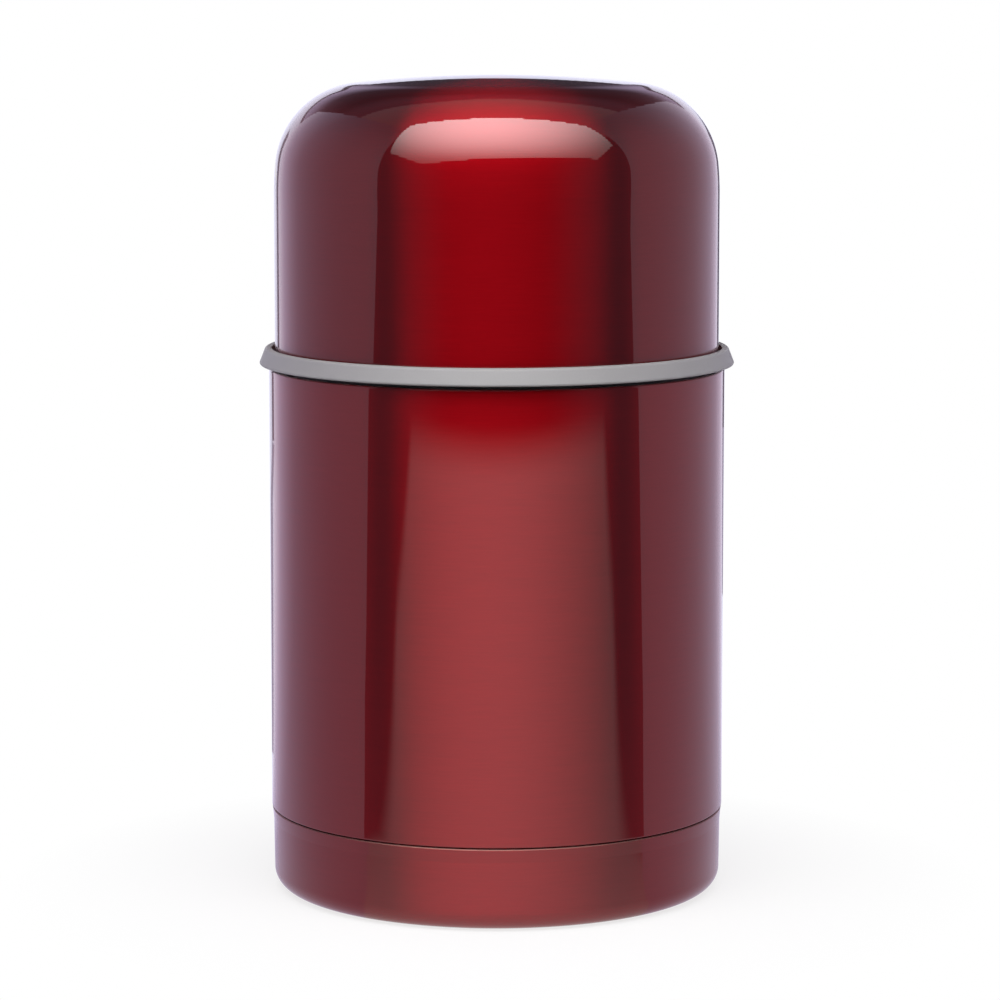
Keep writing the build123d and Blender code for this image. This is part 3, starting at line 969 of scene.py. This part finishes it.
# Cloths and boards lie on the table: the dark cloth in front, a board at the foot of each side
# card, the backdrop's cloth behind, and a grey strip over each of its two borders.
LIFT = 0.0003
BACKDROP = (0.98, 0.98, 1.18)
SEAM_TONE = (0.38, 0.34, 0.46)


def on_table(points):
    """Corners of a card that lies on the table."""
    return [(x, y, LIFT) for x, y in points]


def plain_cloth(name, colour):
    """Cloth of one tone that the jar's lacquer shows."""
    made, light = glow_material(name)
    weave = cloud_noise(light, 40.0)
    dimmer = tuple(0.94 * part for part in colour)
    link(blend_colours(light, weave, dimmer, colour), light.inputs["Color"])
    return made


middle = (0.0, 0.0)
left_border = [(-0.03, -0.04), (-0.067, -0.056), (-0.116, -0.072), (-0.275, -0.132), (-CARD_X, -0.195)]
right_border = [(0.03, -0.035), (0.07, -0.045), (0.121, -0.055), (0.287, -0.089), (CARD_X, -0.123)]
back_left = [(-0.03, 0.06), (-0.092, 0.135), (-0.285, 0.60), (-CARD_X, 0.73)]
back_right = [(0.03, 0.06), (CARD_X, 1.05)]
left_post_end = (-0.351, 0.779)
right_post_start, right_post_end = (0.318, 0.845), (0.18, 0.877)
front_corners = [middle, *left_border, (-6.0, -2.6), (-6.0, -6.0), (6.0, -6.0), (6.0, -1.4)]
front_corners += right_border[::-1]
left_seam_corners = [*back_left[1:], left_post_end, (-0.185, 0.63), (-0.07, 0.145)]
right_seam_corners = [right_post_start, right_post_end, (0.09, 0.40), (0.15, 0.40)]
back_corners = [*back_left, (-3.0, 4.0), (3.0, 4.0), *back_right[::-1]]

backdrop_cloth = plain_cloth("backdrop_cloth", BACKDROP)
seam_cloth = plain_cloth("seam_cloth", SEAM_TONE)
boards = [
    card("cloth_front", on_table(front_corners), cloth),
    card("board_left", on_table([middle, *left_border, *back_left[::-1]]), left_glow),
    card("board_right", on_table([middle, *right_border, *back_right[::-1]]), right_glow),
]
seams = [
    card("seam_left", on_table(left_seam_corners), seam_cloth),
    card("seam_right", on_table(right_seam_corners), seam_cloth),
]
for seam in seams:
    seam.location.z = LIFT
boards.append(card("board_back", on_table(back_corners), backdrop_cloth))

# A tent of cloth stands over the whole table. It is dark in front, with a light ceiling and a
# dim band behind that. Low down at the back hangs the lilac backdrop, which is taller towards
# both sides, with a grey shelf above it there.
TENT_R = 5.0
TENT_STEPS = 64
TENT_FOOT_Z = -0.01
REAR_TONE = (0.04, 0.038, 0.05)
BAND_TONE = (0.14, 0.11, 0.15)
CEILING_MIDDLE = (0.5, 0.455, 0.44)
CEILING_SIDES = (0.44, 0.33, 0.37)
CEILING_BACK = 0.48
CEILING_BULGE = 0.09
BACKDROP_TOP = 0.16
BACKDROP_RISE = 0.145
SHELF_TONE = (0.48, 0.40, 0.58)

tent_cloth, light = glow_material("tent_cloth")
place = position(light)
toward = {side: calc(light, "DIVIDE", place.outputs[side], TENT_R) for side in "XYZ"}
aside = calc(light, "ABSOLUTE", toward["X"])
tone = room_tone(light, toward["X"])
tone = blend_colours(light, ramp(light, toward["Y"], 0.0, 0.4), tone, REAR_TONE)
steep = calc(light, "DIVIDE", toward["Y"], calc(light, "MAXIMUM", toward["Z"], 0.01))
band = calc(light, "MULTIPLY", ramp(light, steep, 1.0, 0.6), ramp(light, toward["Y"], 0.0, 0.3))
tone = blend_colours(light, band, tone, BAND_TONE)
bulge = calc(light, "MULTIPLY", ramp(light, aside, 0.25, 0.0), CEILING_BULGE)
ceiling_back = calc(light, "ADD", bulge, CEILING_BACK)
ceiling = ramp(light, calc(light, "SUBTRACT", ceiling_back, steep), 0.0, 0.03)
ceiling = calc(light, "MULTIPLY", ceiling, ramp(light, toward["Z"], 0.68, 0.74))
ceiling_tone = blend_colours(light, ramp(light, aside, 0.1, 0.35), CEILING_MIDDLE, CEILING_SIDES)
tone = blend_colours(light, ceiling, tone, ceiling_tone)
rear = ramp(light, toward["Y"], 0.6, 0.75)
backdrop_rise = calc(light, "MULTIPLY", ramp(light, aside, 0.05, 0.17), BACKDROP_RISE)
above = calc(light, "SUBTRACT", toward["Z"], calc(light, "ADD", backdrop_rise, BACKDROP_TOP))
shelf = calc(light, "MULTIPLY", ramp(light, above, 0.018, 0.03), ramp(light, toward["Z"], 0.50, 0.33))
shelf = calc(light, "MULTIPLY", shelf, ramp(light, aside, 0.03, 0.13))
tone = blend_colours(light, calc(light, "MULTIPLY", shelf, rear), tone, SHELF_TONE)
backdrop_part = calc(light, "MULTIPLY", ramp(light, above, 0.0, -0.012), rear)
tone = blend_colours(light, backdrop_part, tone, BACKDROP)
link(tone, light.inputs["Color"])
work = bmesh.new()
bmesh.ops.create_uvsphere(work, u_segments=TENT_STEPS, v_segments=TENT_STEPS, radius=TENT_R)
bmesh.ops.delete(work, geom=[v for v in work.verts if v.co.z < TENT_FOOT_Z], context="VERTS")
tent_mesh = bpy.data.meshes.new("tent")
work.to_mesh(tent_mesh)
work.free()
tent_mesh.materials.append(tent_cloth)
tent = add_object("tent", tent_mesh)
tent.visible_camera = False

# Two dark posts stand towards the back, one near each side card.
POST_TONE = (0.1, 0.09, 0.13)
post_cloth, light = glow_material("post_cloth")
light.inputs["Color"].default_value = (*POST_TONE, 1.0)
post_places = [
    ("post_left", (-CARD_X, 0.75), left_post_end, 0.29),
    ("post_right", right_post_start, right_post_end, 0.24),
]
posts = []
for name, start, end, height in post_places:
    corners = [(*start, 0.0), (*end, 0.0), (*end, height), (*start, height)]
    posts.append(card(name, corners, post_cloth))
for flag in (*boards, *seams, *posts, tent):
    flag.visible_shadow = False
    flag.visible_diffuse = False

world = bpy.data.worlds.new("room")
bpy.context.scene.world = world
world.use_nodes = True
sky = world.node_tree.nodes["Background"]
link(blend_colours(sky, sees_background(sky), (0.2, 0.2, 0.23), (1.0, 1.0, 1.0)), sky.inputs["Color"])

# ---------------------------------------------------------------- camera
# A long lens a little above the cup's crown, tilted down on the jar.

CAMERA_AWAY = 0.873
CAMERA_Z = 0.202
CAMERA_TILT = 7.587
LENS = 143.57
FILM_WIDTH = 36.0
SIDE_SHIFT = 0.0032

view_camera = bpy.data.cameras.new("camera")
view_camera.sensor_width = FILM_WIDTH
view_camera.lens = LENS
view_camera.shift_x = SIDE_SHIFT
view_camera.clip_start = 0.01
camera = add_object("camera", view_camera)
camera.location = (0.0, -CAMERA_AWAY, CAMERA_Z)
camera.rotation_euler = (math.radians(90.0 - CAMERA_TILT), 0.0, 0.0)
bpy.context.scene.camera = camera
bpy.context.scene.view_settings.view_transform = "Standard"
